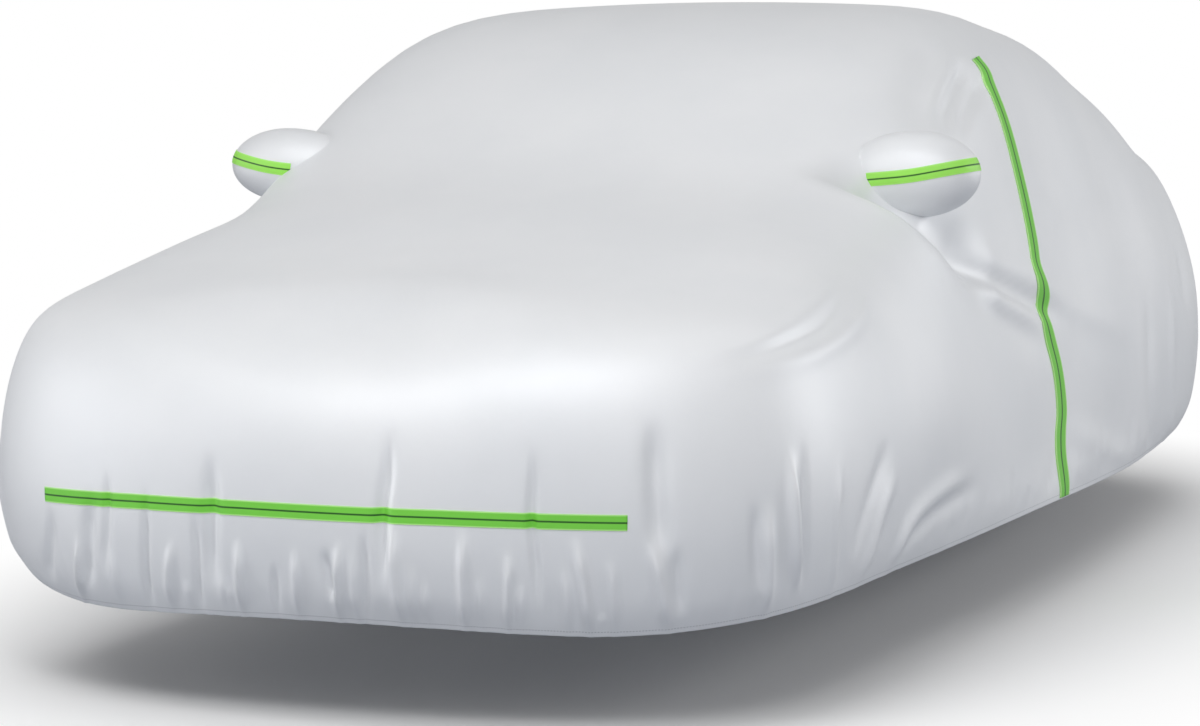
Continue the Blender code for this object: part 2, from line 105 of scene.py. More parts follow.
CROWN_DROP = 0.25
SKIRT_SHARE = 0.22          # of the hem's way in, reached this far above the hem
SKIRT_RISE = 0.120
GIRTH_ROW = 4.5             # the row that distances round the car are measured along

# The side tape's middle line on the smooth skin: length along the car, and height.  It
# sways because the folds carry the tape outwards, and the photo's line is nearly even.
SIDE_TAPE_PATH = (
    (1.293, 1.286), (1.326, 1.255), (1.312, 1.215), (1.327, 1.128), (1.332, 1.020),
    (1.333, 0.927), (1.320, 0.842), (1.294, 0.790), (1.300, 0.741), (1.318, 0.698),
    (1.298, 0.660), (1.311, 0.614), (1.338, 0.555), (1.352, 0.495), (1.353, 0.438),
    (1.331, 0.389), (1.323, 0.332), (1.332, 0.274), (1.340, 0.180),
)

# ---------------------------------------------------------------- folds
# As in the solids: depth above zero is a ridge; girth is the distance round the car from
# the middle of the nose, positive on the left; z is the height.  Where a path runs down,
# steep narrows the slope on the side of larger girth and widens the other one.
Fold = namedtuple("Fold", "depth width steep ends path")
HEM = "hem"
BOTH = "both"
FOLDS = (
    # gathers across the nose and round the front left corner, from the car's right
    Fold(0.012, 0.009, 0.0, HEM, ((-0.558, 0.35), (-0.588, 0.27), (-0.637, 0.19))),
    Fold(-0.009, 0.015, 0.0, BOTH, ((-0.637, 0.40), (-0.664, 0.32), (-0.746, 0.21))),
    Fold(-0.012, 0.017, 0.0, BOTH, ((-0.508, 0.44), (-0.539, 0.33), (-0.584, 0.22))),
    Fold(-0.0075, 0.008, 0.0, BOTH, ((-0.469, 0.49), (-0.471, 0.39), (-0.511, 0.26))),
    Fold(0.006, 0.013, 0.0, HEM, ((-0.472, 0.33), (-0.485, 0.26), (-0.511, 0.19))),
    Fold(-0.0105, 0.008, 0.0, HEM, ((-0.368, 0.46), (-0.380, 0.35), (-0.422, 0.19))),
    Fold(0.0105, 0.009, 0.0, HEM, ((-0.309, 0.36), (-0.333, 0.30), (-0.371, 0.19))),
    Fold(0.006, 0.009, 0.0, HEM, ((-0.298, 0.28), (-0.319, 0.19))),
    Fold(-0.009, 0.008, 0.0, HEM, ((-0.252, 0.44), (-0.263, 0.32), (-0.295, 0.19))),
    Fold(-0.0135, 0.016, 0.0, BOTH, ((-0.218, 0.54), (-0.219, 0.42), (-0.232, 0.31), (-0.246, 0.24))),
    Fold(0.006, 0.008, 0.0, HEM, ((-0.209, 0.30), (-0.236, 0.19))),
    Fold(0.006, 0.007, 0.0, HEM, ((-0.196, 0.28), (-0.219, 0.19))),
    Fold(0.0135, 0.009, 0.0, HEM, ((-0.160, 0.37), (-0.169, 0.30), (-0.194, 0.19))),
    Fold(-0.0075, 0.008, 0.0, HEM, ((-0.084, 0.33), (-0.107, 0.19))),
    Fold(0.0105, 0.009, 0.0, HEM, ((-0.038, 0.36), (-0.044, 0.29), (-0.059, 0.19))),
    Fold(-0.0105, 0.01, 0.0, BOTH, ((0.022, 0.36), (0.029, 0.31), (0.031, 0.25))),
    Fold(0.0135, 0.009, 0.0, HEM, ((0.059, 0.38), (0.047, 0.31), (0.035, 0.19))),
    Fold(0.0075, 0.011, 0.0, HEM, ((0.078, 0.36), (0.079, 0.30), (0.079, 0.19))),
    Fold(-0.0105, 0.008, 0.0, HEM, ((0.106, 0.41), (0.105, 0.32), (0.093, 0.19))),
    Fold(-0.0135, 0.013, 0.0, BOTH, (
        (0.157, 0.60), (0.152, 0.51), (0.143, 0.43), (0.141, 0.34), (0.126, 0.27),
    )),
    Fold(0.0135, 0.013, 0.0, HEM, ((0.162, 0.42), (0.166, 0.32), (0.182, 0.19))),
    Fold(0.0075, 0.008, 0.0, HEM, ((0.201, 0.34), (0.201, 0.19))),
    Fold(0.006, 0.008, 0.0, HEM, ((0.226, 0.31), (0.230, 0.19))),
    Fold(0.0135, 0.01, 0.0, HEM, ((0.299, 0.41), (0.302, 0.31), (0.309, 0.19))),
    Fold(0.006, 0.01, 0.0, HEM, ((0.334, 0.32), (0.344, 0.19))),
    Fold(0.0135, 0.009, 0.0, HEM, ((0.387, 0.37), (0.390, 0.29), (0.398, 0.19))),
    Fold(0.0075, 0.008, 0.0, HEM, ((0.414, 0.31), (0.425, 0.19))),
    Fold(-0.012, 0.008, 0.0, BOTH, (
        (0.437, 0.57), (0.430, 0.47), (0.429, 0.42), (0.441, 0.33), (0.453, 0.24),
    )),
    Fold(0.0075, 0.009, 0.0, HEM, ((0.492, 0.34), (0.506, 0.27), (0.521, 0.19))),
    Fold(0.0135, 0.01, 0.0, HEM, ((0.506, 0.40), (0.529, 0.32), (0.565, 0.19))),
    Fold(0.0075, 0.009, 0.0, HEM, ((0.575, 0.36), (0.590, 0.29), (0.613, 0.19))),
    Fold(0.006, 0.008, 0.0, HEM, ((0.575, 0.25), (0.583, 0.19))),
    Fold(-0.0135, 0.02, 0.0, BOTH, ((0.668, 0.62), (0.661, 0.51), (0.664, 0.42), (0.683, 0.33))),
    Fold(0.0105, 0.012, 0.0, HEM, ((0.648, 0.40), (0.672, 0.32), (0.719, 0.19))),
    Fold(-0.009, 0.013, 0.0, BOTH, ((0.698, 0.38), (0.714, 0.29), (0.734, 0.23))),
    Fold(-0.009, 0.012, 0.0, BOTH, ((0.852, 0.46), (0.858, 0.38), (0.885, 0.27))),
    Fold(0.0135, 0.013, 0.0, HEM, ((0.883, 0.46), (0.892, 0.34), (0.925, 0.19))),
    Fold(0.0165, 0.013, 0.0, BOTH, ((0.940, 0.56), (0.942, 0.45), (0.960, 0.35), (0.995, 0.25))),
    Fold(-0.0105, 0.012, 0.0, BOTH, ((0.979, 0.57), (0.971, 0.45), (0.988, 0.33), (1.014, 0.25))),
    # the wheel arch
    Fold(0.005, 0.013, 0.0, HEM, ((1.11, 0.54), (1.095, 0.40), (1.145, 0.21))),
    Fold(-0.005, 0.015, 0.0, HEM, ((1.135, 0.48), (1.12, 0.38), (1.17, 0.22))),
    Fold(0.008, 0.024, 0.0, HEM, ((1.44, 0.47), (1.33, 0.38), (1.255, 0.22))),
    Fold(-0.007, 0.024, 0.0, BOTH, ((1.40, 0.53), (1.26, 0.42), (1.19, 0.30))),
    Fold(0.009, 0.026, 0.0, HEM, ((2.05, 0.37), (1.78, 0.372), (1.53, 0.333), (1.44, 0.22))),
    Fold(-0.008, 0.024, 0.0, HEM, ((2.12, 0.35), (1.87, 0.348), (1.60, 0.312), (1.51, 0.22))),
    # the wing crescents
    Fold(0.006, 0.013, 0.0, BOTH, (
        (0.76, 0.712), (0.82, 0.723), (0.92, 0.743), (1.07, 0.770), (1.28, 0.806), (1.42, 0.84),
    )),
    Fold(-0.006, 0.013, 0.0, BOTH, (
        (0.80, 0.704), (0.98, 0.735), (1.16, 0.757), (1.33, 0.795), (1.48, 0.84),
    )),
    Fold(0.008, 0.022, 0.0, BOTH, (
        (0.78, 0.690), (0.95, 0.702), (1.10, 0.716), (1.36, 0.756), (1.64, 0.84),
    )),
    # round the left mirror and down the doors
    Fold(-0.052, 0.070, -0.3, BOTH, (
        (1.91, 1.15), (1.98, 1.04), (2.05, 0.95), (2.20, 0.85), (2.42, 0.76),
    )),
    Fold(-0.032, 0.060, -0.3, BOTH, ((1.94, 1.10), (2.00, 1.00), (2.09, 0.91))),
    Fold(-0.017, 0.020, 0.0, BOTH, ((2.68, 1.34), (2.38, 1.21), (2.22, 1.11))),
    Fold(-0.023, 0.020, 0.0, BOTH, ((2.78, 1.285), (2.49, 1.19), (2.30, 1.10))),
    Fold(-0.017, 0.022, 0.0, BOTH, ((2.86, 1.25), (2.57, 1.172), (2.40, 1.10))),
    Fold(0.012, 0.024, 0.0, BOTH, ((2.12, 0.835), (2.31, 0.77), (2.62, 0.697), (2.86, 0.646))),
    Fold(-0.014, 0.026, 0.0, BOTH, (
        (2.14, 0.868), (2.24, 0.826), (2.46, 0.769), (2.82, 0.697), (3.12, 0.65),
    )),
    Fold(0.008, 0.040, 0.0, BOTH, (
        (2.08, 0.95), (2.32, 0.856), (2.57, 0.80), (2.85, 0.749), (3.26, 0.653), (3.80, 0.55),
    )),
    Fold(-0.006, 0.040, 0.0, BOTH, ((1.95, 0.84), (2.24, 0.735), (2.66, 0.63), (2.95, 0.57))),
    Fold(-0.006, 0.060, 0.0, BOTH, ((3.05, 0.86), (3.67, 0.87), (4.60, 0.88))),
    Fold(-0.007, 0.045, 0.0, HEM, ((3.99, 0.68), (3.93, 0.43), (4.03, 0.20))),
    Fold(0.007, 0.045, 0.0, HEM, ((4.30, 0.68), (4.26, 0.45), (4.36, 0.20))),
    Fold(-0.006, 0.045, 0.0, BOTH, ((4.60, 0.75), (4.50, 0.58))),
    Fold(0.006, 0.040, 0.0, HEM, ((2.85, 0.40), (3.30, 0.315), (3.75, 0.21))),
    # the tail and the far side, which nothing shows
    Fold(0.008, 0.060, 0.0, HEM, ((5.00, 0.60), (5.05, 0.21))),
    Fold(-0.008, 0.060, 0.0, HEM, ((5.50, 0.62), (5.45, 0.21))),
    Fold(0.008, 0.060, 0.0, HEM, ((6.02, 0.50), (6.03, 0.21))),
    Fold(-0.008, 0.060, 0.0, HEM, ((-5.60, 0.62), (-5.52, 0.21))),
    Fold(0.008, 0.060, 0.0, HEM, ((-5.05, 0.58), (-5.00, 0.21))),
    Fold(-0.008, 0.060, 0.0, HEM, ((-4.10, 0.68), (-4.00, 0.20))),
    Fold(0.011, 0.030, 0.0, BOTH, ((-1.97, 0.92), (-2.35, 0.78), (-3.00, 0.60))),
    Fold(-0.011, 0.036, 0.0, BOTH, ((-2.00, 0.99), (-2.45, 0.85), (-3.35, 0.63))),
    Fold(0.008, 0.030, 0.0, HEM, ((-2.00, 0.38), (-1.72, 0.35), (-1.50, 0.22))),
    Fold(0.008, 0.024, 0.0, HEM, ((-0.93, 0.52), (-0.96, 0.21))),
    Fold(-0.007, 0.026, 0.0, HEM, ((-1.18, 0.50), (-1.22, 0.22))),
)
FOLD_TAPER = 0.35
PATH_STEPS = 5              # pieces that each stretch of a path is smoothed into
FOLD_REACH = 3.0            # widths from its line beyond which a fold does nothing
FOLD_BELOW = 0.1            # but it still acts this much further down, below the hem
FOLD_ROWS = (1.3, 2.0)      # low folds fade out between these rows: none crosses the top
HIGH_FOLD = 1.05            # a fold that stays above this height fades out further up
HIGH_FOLD_ROWS = (0.9, 1.4)

# ---------------------------------------------------------------- mesh pitches
TABLE_STOPS = 2001          # stops of the tables that turn one measure into another
NORMAL_STEP = 0.01          # in turns and rows, for the skin's slopes
# Distance round the car and the pitch of the columns there; the two sides match.
COLUMN_PITCH = (
    (0.0, 0.0053), (1.02, 0.0053), (1.15, 0.0109), (3.10, 0.0136), (3.60, 0.022),
    (4.60, 0.032), (6.10, 0.040),
)
# Row places from the spine (0) to the hem (6), and the pitch of the rows there.
ROW_PITCH = (
    (0.0, 0.140), (1.6, 0.120), (2.0, 0.060), (2.4, 0.036), (3.0, 0.036), (3.3, 0.062),
    (5.3, 0.062), (5.7, 0.048), (6.0, 0.030),
)
LAST_ROW = 5.988            # an extra row close to the edge keeps its shading crisp
HEM_TUCK = 0.010            # the hem's elastic draws the last of the cloth in this far
CORNER_TUCK = 0.010         # and this much further at the nose's right corner
CORNER_GIRTH = -0.85
CORNER_WIDTH = 0.22
TUCK_FROM = 5.35
HEM_CALM = (5.45, 6.0)      # the folds die away between these rows: the edge runs smoothly
HEM_CALM_SHARE = 0.85
HEM_FLAP = 0.022            # the turned-in width of the hem
HEM_STITCH = 0.011          # the hem's stitching lies this far above the edge
HEM_ROLL_DROP = 0.0012      # the rolled edge hangs this far below the cloth's own edge
HEM_ROLL_IN = 0.0010
FLAP_RISES = (0.001, 0.004, HEM_STITCH, 0.016, HEM_FLAP)
FLAP_GAP = 0.0022           # the flap lies this far inside the cloth
FLAP_EDGE_GAP = 0.0030

# ---------------------------------------------------------------- seeded unevenness
GATHER_SEED = 7
Gathers = namedtuple("Gathers", "width depth rise")
NOSE_HALF = 1.0             # girths up to this one count as the nose
NOSE_GATHERS = Gathers((0.008, 0.013), 0.0012, (0.04, 0.11))
SIDE_GATHERS = Gathers((0.014, 0.030), 0.0026, (0.06, 0.16))
GATHER_LEAN = 0.012
GATHER_SPACING = (1.6, 3.0)     # in widths
GATHER_FOOT = 0.19          # a gather's path ends at this height, at or below the hem
GATHER_HEAD = 0.215         # and starts its own rise above this one
WAVE_COUNT = 14
WAVE_ACROSS = (2.0, 16.0)   # radians a metre, round the car and up
WAVE_UP = (-12.0, 12.0)
WAVE_SIZE = 0.010
WAVE_SLOWEST = 4.0
WAVE_FULL_ROW = 1.5         # the waves rise from nothing at the spine to full size here


# ---------------------------------------------------------------- the smooth skin
def control_cage():
    half = []
    for section in SECTIONS:
        start = np.array([0.0, section.spine_y])
        side = np.array([section.side_x, section.side_y])
        reach = float(np.linalg.norm(side - start))
        way = (side - start) / reach
        rail = reach - section.rail_in
        crown_z = section.spine_z - CROWN_DROP * (section.spine_z - section.rail_z)
        stops = (
            (0.0, section.spine_z),
            (CROWN_AT * rail, crown_z),
            (rail, section.rail_z),
            (reach - section.belt_in, section.belt_z),
            (reach, section.side_z),
            (reach - SKIRT_SHARE * section.hem_in, section.hem_z + SKIRT_RISE),
            (reach - section.hem_in, section.hem_z),
        )
        half.append([(*(start + way * out), z) for out, z in stops])
    half = np.array(half)
    flip = np.array([-1.0, 1.0, 1.0])
    around = np.concatenate([half[1:2] * flip, half, half[-2:-1] * flip])
    over_spine = around[:, 1:2] * flip
    below_hem = 2.0 * around[:, -1:] - around[:, -2:-1]
    return np.concatenate([over_spine, around, below_hem], axis=1)


CAGE = control_cage()
LAST_SECTION = len(SECTIONS) - 1
LAST_RING = CAGE.shape[1] - 3


def spline_weights(place, last):
    first = np.clip(np.floor(place).astype(int), 0, last - 1)
    f = place - first
    second = 3 * f**3 - 6 * f**2 + 4
    third = -3 * f**3 + 3 * f**2 + 3 * f + 1
    return first, np.stack([(1 - f) ** 3, second, third, f**3]) / 6.0


def skin_at(turns, rows):
    """The unfolded cover at matching arrays of turns and rows, in the tables' frame."""
    turns, rows = np.broadcast_arrays(turns, rows)
    first_turn, turn_weights = spline_weights(np.abs(turns), LAST_SECTION)
    first_row, row_weights = spline_weights(rows, LAST_RING)
    points = np.zeros(turns.shape + (3,))
    for i in range(4):
        for j in range(4):
            weight = turn_weights[i] * row_weights[j]
            points += weight[..., None] * CAGE[first_turn + i, first_row + j]
    points[..., 0] *= np.where(turns < 0, -1.0, 1.0)
    return points


def run_along(line):
    """The distance run along a line of points, at each of them."""
    steps = np.linalg.norm(np.diff(line, axis=0), axis=1)
    return np.concatenate([[0.0], np.cumsum(steps)])


def girth_table():
    turns = np.linspace(0.0, LAST_SECTION, TABLE_STOPS)
    return turns, run_along(skin_at(turns, GIRTH_ROW)[:, :2])


TABLE_TURNS, TABLE_GIRTH = girth_table()
HALF_GIRTH = TABLE_GIRTH[-1]


def girth_of(turns):
    return np.sign(turns) * np.interp(np.abs(turns), TABLE_TURNS, TABLE_GIRTH)


def turns_of(girth):
    return np.sign(girth) * np.interp(np.abs(girth), TABLE_GIRTH, TABLE_TURNS)


def seat_under_roof():
    turns = np.linspace(0.0, LAST_SECTION, TABLE_STOPS)
    spine = skin_at(turns, 0.0)
    roof_z = float(np.interp(ROOF_SEAT_Y, spine[:, 1], spine[:, 2]))
    return np.array([0.0, ROOF_SEAT_Y, roof_z - CLOTH_THICK])


ORIGIN = seat_under_roof()


# ---------------------------------------------------------------- folds on it
def smoothstep(x):
    x = np.clip(x, 0.0, 1.0)
    return x * x * (3.0 - 2.0 * x)


def between(place, ends):
    """Rises smoothly from 0 to 1 between two places."""
    return smoothstep((place - ends[0]) / (ends[1] - ends[0]))


def smooth_path(path):
    """A path with its corners rounded: a Catmull-Rom curve through its points."""
    knots = np.array(path, float)
    if len(knots) < 3:
        return knots
    ends = np.concatenate([2 * knots[:1] - knots[1:2], knots, 2 * knots[-1:] - knots[-2:-1]])
    line = [knots[0]]
    for a, b, c, d in zip(ends[:-3], ends[1:-2], ends[2:-1], ends[3:]):
        for step in range(1, PATH_STEPS + 1):
            f = step / PATH_STEPS
            cubic = 2 * b + (c - a) * f + (2 * a - 5 * b + 4 * c - d) * f**2
            line.append((cubic + (3 * b - a - 3 * c + d) * f**3) / 2.0)
    return np.array(line)


def add_fold(relief, girth, height, fold):
    """Add one fold's push to the relief, in place, only near the fold."""
    path = smooth_path(fold.path)
    reach = FOLD_REACH * fold.width
    low, high = path.min(axis=0) - reach, path.max(axis=0) + reach
    near = (girth > low[0]) & (girth < high[0]) & (height < high[1])
    near &= height > low[1] - FOLD_BELOW
    s, z = girth[near], height[near]
    lengths = np.linalg.norm(np.diff(path, axis=0), axis=1)
    nearest = np.full(s.shape, np.inf)
    side = np.zeros(s.shape)
    along = np.zeros(s.shape)
    done = 0.0
    for (s0, z0), (s1, z1), length in zip(path[:-1], path[1:], lengths):
        ds, dz = (s1 - s0) / length, (z1 - z0) / length
        run = np.clip((s - s0) * ds + (z - z0) * dz, 0.0, length)
        gap = np.hypot(s - s0 - run * ds, z - z0 - run * dz)
        closer = gap < nearest
        nearest = np.where(closer, gap, nearest)
        side = np.where(closer, (z - z0) * ds - (s - s0) * dz, side)
        along = np.where(closer, (done + run) / lengths.sum(), along)
        done += length
    strength = smoothstep(along / FOLD_TAPER)
    if fold.ends == BOTH:
        strength = strength * smoothstep((1.0 - along) / FOLD_TAPER)
    width = fold.width * (1.0 - fold.steep * np.sign(side))
    relief[near] += fold.depth * strength * np.exp(-((nearest / width) ** 2))


def hem_gathers():
    """Small seeded gathers all round the hem, where its elastic draws the cloth in."""
    rng = np.random.default_rng(GATHER_SEED)
    gathers = []
    place = -HALF_GIRTH
    while place < HALF_GIRTH:
        kind = NOSE_GATHERS if abs(place) < NOSE_HALF else SIDE_GATHERS
        width = rng.uniform(*kind.width)
        depth = rng.uniform(-kind.depth, kind.depth)
        rise = rng.uniform(*kind.rise)
        lean = rng.uniform(-GATHER_LEAN, GATHER_LEAN)
        path = ((place + lean, GATHER_HEAD + rise), (place, GATHER_FOOT))
        gathers.append(Fold(depth, width, 0.0, HEM, path))
        place += rng.uniform(*GATHER_SPACING) * width
    return gathers


def soft_waves(girth, height):
    """Low unevenness that no one fold makes: a few long seeded waves."""
    rng = np.random.default_rng(GATHER_SEED + 1)
    waves = np.zeros(girth.shape)
    for _ in range(WAVE_COUNT):
        across, up = rng.uniform(*WAVE_ACROSS), rng.uniform(*WAVE_UP)
        size = WAVE_SIZE / (WAVE_SLOWEST + math.hypot(across, up))
        waves += size * np.sin(across * girth + up * height + rng.uniform(0.0, 6.28))
    return waves


ALL_FOLDS = list(FOLDS) + hem_gathers()


def skin_normals(turns, rows):
    """The smooth skin's outward normals; at the spine's ends, where it has none, up."""
    above = skin_at(turns, np.clip(rows - NORMAL_STEP, 0.0, LAST_RING))
    below = skin_at(turns, np.clip(rows + NORMAL_STEP, 0.0, LAST_RING))
    around = skin_at(turns + NORMAL_STEP, rows) - skin_at(turns - NORMAL_STEP, rows)
    normals = np.cross(below - above, around)
    sizes = np.linalg.norm(normals, axis=-1, keepdims=True)
    return np.where(sizes > 1e-12, normals / np.maximum(sizes, 1e-12), (0.0, 0.0, 1.0))


def fold_relief(girth, height, rows):
    """How far all folds and waves push the cloth out of the smooth skin."""
    relief = np.zeros(girth.shape)
    high_relief = np.zeros(girth.shape)
    for fold in ALL_FOLDS:
        high = min(z for _, z in fold.path) > HIGH_FOLD
        add_fold(high_relief if high else relief, girth, height, fold)
    relief *= between(rows, FOLD_ROWS)
    relief += high_relief * between(rows, HIGH_FOLD_ROWS)
    relief += soft_waves(girth, height) * smoothstep(rows / WAVE_FULL_ROW)
    return relief * (1.0 - HEM_CALM_SHARE * between(rows, HEM_CALM))


def hem_tuck(girth, rows):
    """How far the hem's elastic draws the cloth in."""
    under = np.clip((rows - TUCK_FROM) / (LAST_RING - TUCK_FROM), 0.0, 1.0) ** 2
    at_corner = np.exp(-(((girth - CORNER_GIRTH) / CORNER_WIDTH) ** 2))
    return under * (HEM_TUCK + CORNER_TUCK * at_corner)


def folded_skin(turns, rows, lift=0.0):
    """The folded cloth's points, in the row frame, and the smooth skin's normals there."""
    turns, rows = np.broadcast_arrays(turns, rows)
    points = skin_at(turns, rows)
    normals = skin_normals(turns, rows)
    girth = girth_of(turns)
    relief = fold_relief(girth, points[..., 2], rows) - hem_tuck(girth, rows)
    return points + normals * (relief + lift)[..., None] - ORIGIN, normals


# ---------------------------------------------------------------- meshes
def pitched(table, start, end):
    """Stops from start to end, as far apart as a table of places and pitches says."""
    places, pitches = zip(*table)
    stops = [start]
    while stops[-1] < end:
        stops.append(stops[-1] + float(np.interp(stops[-1], places, pitches)))
    return start + (np.array(stops) - start) * (end - start) / (stops[-1] - start)


def new_mesh_object(name, points, faces, uv):
    """An object of these points and faces; uv is given by point, or by face and corner."""
    mesh = bpy.data.meshes.new(name)
    mesh.from_pydata(points.tolist(), [], faces)
    if uv.ndim == 2:
        corners = np.zeros(len(mesh.loops), dtype=np.int32)
        mesh.loops.foreach_get("vertex_index", corners)
        uv = uv[corners]
    layer = mesh.uv_layers.new(name="cloth")
    layer.data.foreach_set("uv", uv.astype(np.float32).ravel())
    mesh.shade_smooth()
    mesh.validate()
    thing = bpy.data.objects.new(name, mesh)
    bpy.context.scene.collection.objects.link(thing)
    return thing


def grid_quads(across, down):
    """Quads of a grid of points stored column by column."""
    quads = []
    for i in range(across - 1):
        here, there = i * down, (i + 1) * down
        for j in range(down - 1):
            quads.append((here + j, here + j + 1, there + j + 1, there + j))
    return quads


def pocket_form(pocket):
    """A pocket's middle and half sizes."""
    centre = np.array([pocket.side * POCKET_X, POCKET_Y, pocket.centre_z]) - ORIGIN
    return centre, np.array([POCKET_REACH, POCKET_DEPTH, pocket.half_height])


# ---------------------------------------------------------------- the cover
FLAP_SEARCH = 11            # the hem's flap is laid out over the last rows, this many


def column_run(column):
    """Distances above the hem of a column's points, and their places, for np.interp."""
    last = len(column) - 1
    above = run_along(column[:last - FLAP_SEARCH - 1:-1])
    return above, np.arange(last, last - FLAP_SEARCH - 1, -1.0)


def at_rows(points, place):
    """Each column's point at a fractional place in its list of points."""
    low = np.minimum(np.floor(place).astype(int), points.shape[1] - 2)
    f = (place - low)[:, None]
    line = np.arange(len(points))
    return points[line, low] * (1 - f) + points[line, low + 1] * f


def cover_points():
    """The cover's columns, its rows, and its points by both, the rolled hem included."""
    left = turns_of(pitched(COLUMN_PITCH, 0.0, HALF_GIRTH))
    turns = np.concatenate([left, -left[-2:0:-1]])
    rows = np.append(pitched(ROW_PITCH, 0.0, 6.0)[:-1], (LAST_ROW, 6.0))
    points, normals = folded_skin(turns[:, None], rows[None, :])
    # the hem is turned in: a rolled edge, then a flap up the inside
    edge, out = points[:, -1], normals[:, -1]
    below = np.array([0.0, 0.0, -HEM_ROLL_DROP])
    inner = [edge + below - out * HEM_ROLL_IN]
    for rise in FLAP_RISES:
        place = np.array([np.interp(rise, *column_run(column)) for column in points])
        gap = FLAP_GAP if rise < HEM_FLAP else FLAP_EDGE_GAP
        inner.append(at_rows(points, place) - out * gap)
    return turns, rows, np.concatenate([points] + [ring[:, None] for ring in inner], axis=1)


def cover_quads(count, depth):
    """The cover's quads, twice: with points of its own for each column, and shared ones.

    Two columns meet at each place on the spine, where they share a point.
    """
    own = np.arange(count * depth).reshape(count, depth)
    shared = own.copy()
    for i in range(count // 2 + 1, count):
        shared[i, 0] = shared[count - i, 0]
    both = []
    for index in (own, shared):
        after = np.roll(index, -1, axis=0)
        quads = np.stack([index[:, :-1], index[:, 1:], after[:, 1:], after[:, :-1]], axis=-1)
        both.append(quads.reshape(-1, 4))
    return both


def cloth_uv(turns, points, depth):
    """Distance round the car, and above the hem's edge, at every point."""
    steps = np.linalg.norm(np.diff(points, axis=1), axis=2)
    above = np.cumsum(steps[:, depth - 2::-1], axis=1)[:, ::-1]
    flap = -np.cumsum(steps[:, depth - 1:], axis=1)
    height = np.concatenate([above, np.zeros((len(turns), 1)), flap], axis=1)
    girth = np.broadcast_to(girth_of(turns)[:, None], height.shape)
    return np.stack([girth, height], axis=-1).reshape(-1, 2)


def cut_pocket_holes(points, quads):
    """Which faces stay outside the mirror pockets; the cuts' edges are drawn even."""
    stays = np.ones(len(quads), bool)
    for pocket in POCKETS:
        centre, size = pocket_form(pocket)
        level = np.linalg.norm((points - centre) / (size - POCKET_HEM), axis=-1)
        inside = level < 1.0
        hits = inside[quads].sum(axis=1)
        stays &= hits < 4
        rim = np.unique(quads[(hits > 0) & (hits < 4)])
        rim = rim[inside[rim]]
        points[rim] = centre + (points[rim] - centre) / np.maximum(level[rim], 0.5)[:, None]
    return stays


def make_cover():
    """The cover's piece, and a search tree of its folded cloth before the cuts."""
    turns, rows, grid = cover_points()
    own_quads, quads = cover_quads(*grid.shape[:2])
    points = grid.reshape(-1, 3)
    tree = BVHTree.FromPolygons(points.tolist(), quads.tolist())
    uv = cloth_uv(turns, grid, len(rows))
    stays = cut_pocket_holes(points, quads)
    used, faces = np.unique(quads[stays], return_inverse=True)
    faces = faces.reshape(-1, 4).tolist()
    return new_mesh_object("cover_cloth", points[used], faces, uv[own_quads[stays]]), tree


cover, skin_tree = make_cover()


# ---------------------------------------------------------------- tapes on the cover
# Places across a tape, from edge to edge; the edges are doubled to turn them down.
HALF_ACROSS = (0.08, 0.2, 0.4, 0.6, 0.8, 0.97, 1.0, 1.0)
ACROSS = np.array([-v for v in HALF_ACROSS[::-1]] + [0.0] + list(HALF_ACROSS))
MIDDLE = len(HALF_ACROSS)
FRONT_TAPE_STATIONS = 280
SIDE_TAPE_STATIONS = 150


def ends_doubled(line):
    return np.concatenate([line[:1], line, line[-1:]])


def tape_piece(name, points, lengths):
    """A tape's piece from its grid of points: stations along it by places across it."""
    along, across = np.meshgrid(lengths, ACROSS, indexing="ij")
    uv = np.stack([along, across], axis=-1).reshape(-1, 2)
    return new_mesh_object(name, points.reshape(-1, 3), grid_quads(*points.shape[:2]), uv)


def tape_on_cover(name, turns, rows, lengths, lift):
    lifts = np.full(turns.shape, lift)
    lifts[:, 0] = lifts[:, -1] = TAPE_EDGE_LIFT
    lifts[0, :] = lifts[-1, :] = TAPE_EDGE_LIFT
    points, _ = folded_skin(turns, rows, lifts)
    return tape_piece(name, points, lengths)


def row_at_height(turns, height):
    """The rows where columns of the smooth skin reach a height."""
    search = np.linspace(2.0, 6.0, 401)
    heights = skin_at(turns[:, None], search[None, :])[..., 2]
    wanted = np.broadcast_to(height, turns.shape)
    return np.array([np.interp(-z, -column, search) for z, column in zip(wanted, heights)])


def tape_height(stations):
    """The height of the nose tape's middle at each girth."""
    places, heights = zip(*FRONT_TAPE_Z)
    return np.interp(stations, places, heights)


def front_tape_ends():
    """The girths where the nose tape reaches its two ends across the car."""
    stations = np.linspace(-1.1, 1.1, 401)
    turns = turns_of(stations)
    line = skin_at(turns, row_at_height(turns, tape_height(stations)))
    return np.interp(FRONT_TAPE_X, line[:, 0], stations)


def make_front_tape():
    stations = ends_doubled(np.linspace(*front_tape_ends(), FRONT_TAPE_STATIONS))
    turns = turns_of(stations)
    heights = tape_height(stations)
    rows = np.stack([row_at_height(turns, heights - v * TAPE_WIDTH / 2.0) for v in ACROSS], axis=1)
    turns = np.repeat(turns[:, None], len(ACROSS), axis=1)
    return tape_on_cover("nose_tape", turns, rows, stations, TAPE_LIFT)


